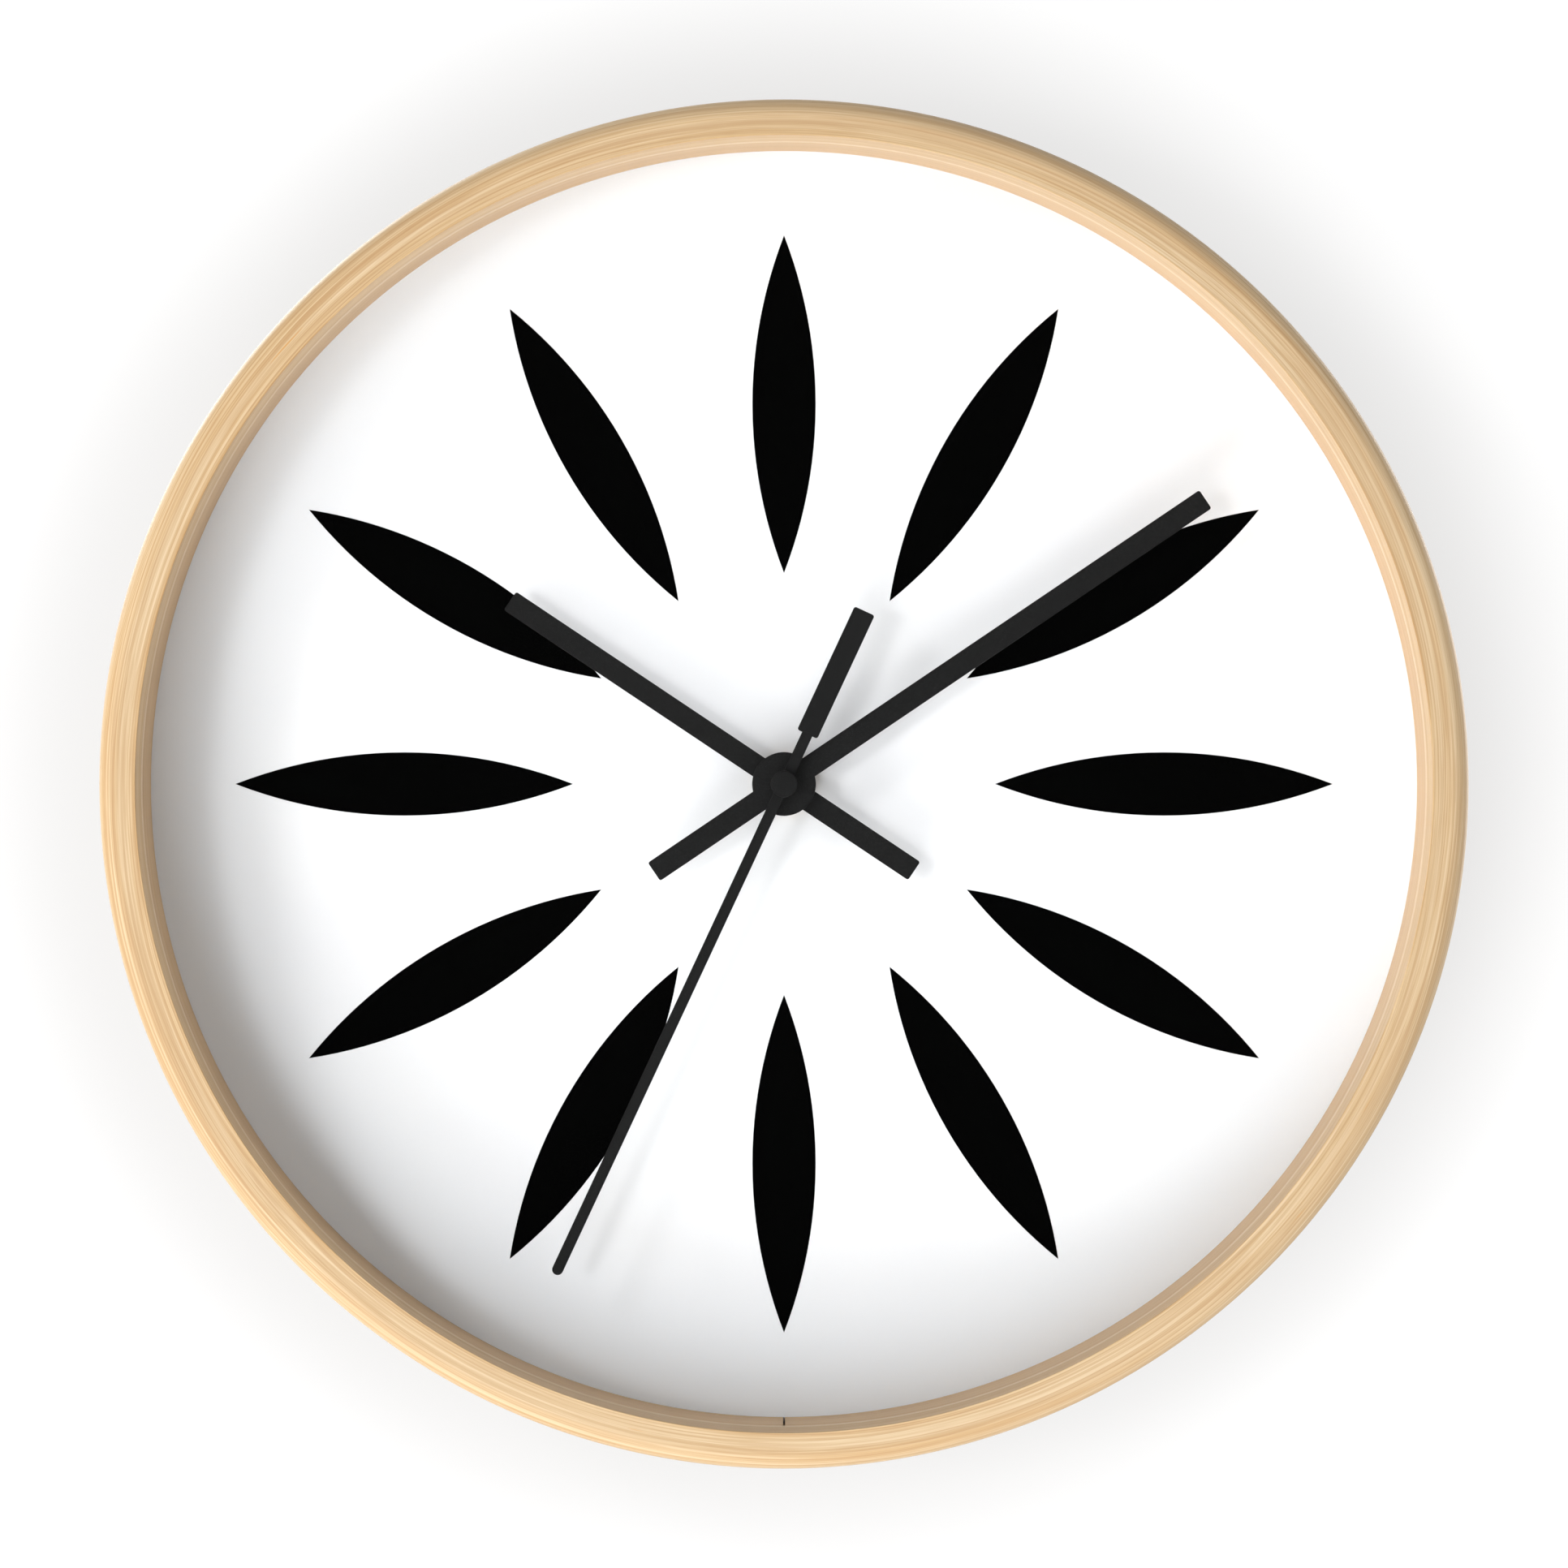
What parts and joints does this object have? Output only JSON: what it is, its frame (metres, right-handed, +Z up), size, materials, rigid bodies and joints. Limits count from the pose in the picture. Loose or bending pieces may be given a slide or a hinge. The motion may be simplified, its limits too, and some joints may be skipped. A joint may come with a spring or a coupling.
{
  "type": "wall clock",
  "caption": "Round analogue quartz wall clock with a deep bentwood ring, white dial with leaf-shaped hour marks, three straight hands and a battery movement.",
  "frame": {"origin": "on the axis of the hands, halfway between the front rim and the wall, which is the centre of the bounding box", "axes": "+Y into the wall, so the dial faces -Y; +Z up through twelve o'clock; +X to the right of a person facing the dial"},
  "size_m": [0.254, 0.046, 0.254],
  "materials": {
    "ring_wood": "satin lacquered pale bentwood, fine grain running round the ring",
    "hoop_veneer": "satin pale veneer strip",
    "clear_acrylic": "clear polished acrylic",
    "dial_print": "matte white with printed black leaves",
    "fibreboard": "raw brown fibreboard",
    "zinc_steel": "zinc-plated sheet steel",
    "brass": "turned brass",
    "black_rubber": "matte moulded rubber",
    "black_plastic": "fine-textured moulded plastic",
    "bridge_plastic": "moulded plastic",
    "motor_steel": "bare sheet steel",
    "gear_plastic": "natural acetal",
    "copper_wire": "enamelled copper wire",
    "circuit_green": "solder-resist green",
    "magnet_grey": "bonded ferrite",
    "battery_sleeve": "printed steel sleeve",
    "charcoal_paint": "satin charcoal paint on aluminium"
  },
  "bodies": {
    "case": {"case_ring": "ring_wood", "front_crystal": "clear_acrylic", "spacer_hoop": "hoop_veneer", "dial_plate": "dial_print", "dial_board": "fibreboard", "board_clip_1": "zinc_steel", "board_clip_2": "zinc_steel", "board_clip_3": "zinc_steel", "board_clip_4": "zinc_steel", "clip_screw_1": "brass", "clip_screw_2": "brass", "clip_screw_3": "brass", "clip_screw_4": "brass", "hanger_bracket": "zinc_steel", "rubber_washer": "black_rubber", "flat_washer": "brass", "mounting_nut": "brass", "movement_case": "black_plastic", "movement_cover": "black_plastic", "train_bridge": "bridge_plastic", "stator": "motor_steel", "coil_core": "motor_steel", "coil_bobbin": "gear_plastic", "coil_winding": "copper_wire", "circuit_board": "circuit_green", "quartz_can": "zinc_steel", "clock_chip": "black_plastic", "positive_contact": "zinc_steel", "negative_contact": "zinc_steel"},
    "battery": {"battery": "battery_sleeve"},
    "seconds": {"seconds_wheel": "gear_plastic", "seconds_arbor": "motor_steel", "second_hand": "charcoal_paint", "second_hand_socket": "brass", "second_hand_cap": "charcoal_paint"},
    "rotor": {"rotor_magnet": "magnet_grey", "rotor_pinion": "gear_plastic"},
    "idler": {"idler_wheel": "gear_plastic"},
    "third": {"third_wheel": "gear_plastic"},
    "minutes": {"centre_wheel": "gear_plastic", "cannon_pinion": "brass", "minute_hand": "charcoal_paint"},
    "minute_work": {"minute_work_wheel": "gear_plastic", "setting_knob": "black_plastic"},
    "hours": {"hour_wheel": "gear_plastic", "hour_hand": "charcoal_paint"}
  },
  "joints": [
    {"name": "second_hand_spin", "type": "hinge", "parent": "case", "child": "seconds", "pos_m": [0, 0.003, 0], "axis": [0, 1, 0], "continuous": true},
    {"name": "rotor_spin", "type": "hinge", "parent": "case", "child": "rotor", "pos_m": [0.0053, 0.015, 0.01402], "axis": [0, 1, 0], "continuous": true},
    {"name": "idler_spin", "type": "hinge", "parent": "case", "child": "idler", "pos_m": [0.00152, 0.017, 0.00862], "axis": [0, 1, 0], "continuous": true},
    {"name": "third_wheel_spin", "type": "hinge", "parent": "case", "child": "third", "pos_m": [-0.00736, 0.014, 0.00425], "axis": [0, 1, 0], "continuous": true},
    {"name": "minute_hand_spin", "type": "hinge", "parent": "case", "child": "minutes", "pos_m": [0, 0.003, 0], "axis": [0, 1, 0], "continuous": true},
    {"name": "setting_knob_spin", "type": "hinge", "parent": "case", "child": "minute_work", "pos_m": [0.00846, 0.015, 0.00308], "axis": [0, 1, 0], "continuous": true},
    {"name": "hour_hand_spin", "type": "hinge", "parent": "case", "child": "hours", "pos_m": [0, 0.003, 0], "axis": [0, 1, 0], "continuous": true},
    {"name": "battery_slide", "type": "slide", "parent": "case", "child": "battery", "axis": [0, 1, 0], "range_m": [0, 0.02]}
  ],
  "couplings": [
    {"joint": "rotor_spin", "follows": "second_hand_spin", "ratio": 30},
    {"joint": "idler_spin", "follows": "second_hand_spin", "ratio": -6},
    {"joint": "third_wheel_spin", "follows": "second_hand_spin", "ratio": -0.13333},
    {"joint": "minute_hand_spin", "follows": "second_hand_spin", "ratio": 0.016667},
    {"joint": "setting_knob_spin", "follows": "second_hand_spin", "ratio": -0.0055556},
    {"joint": "hour_hand_spin", "follows": "second_hand_spin", "ratio": 0.0013889}
  ]
}
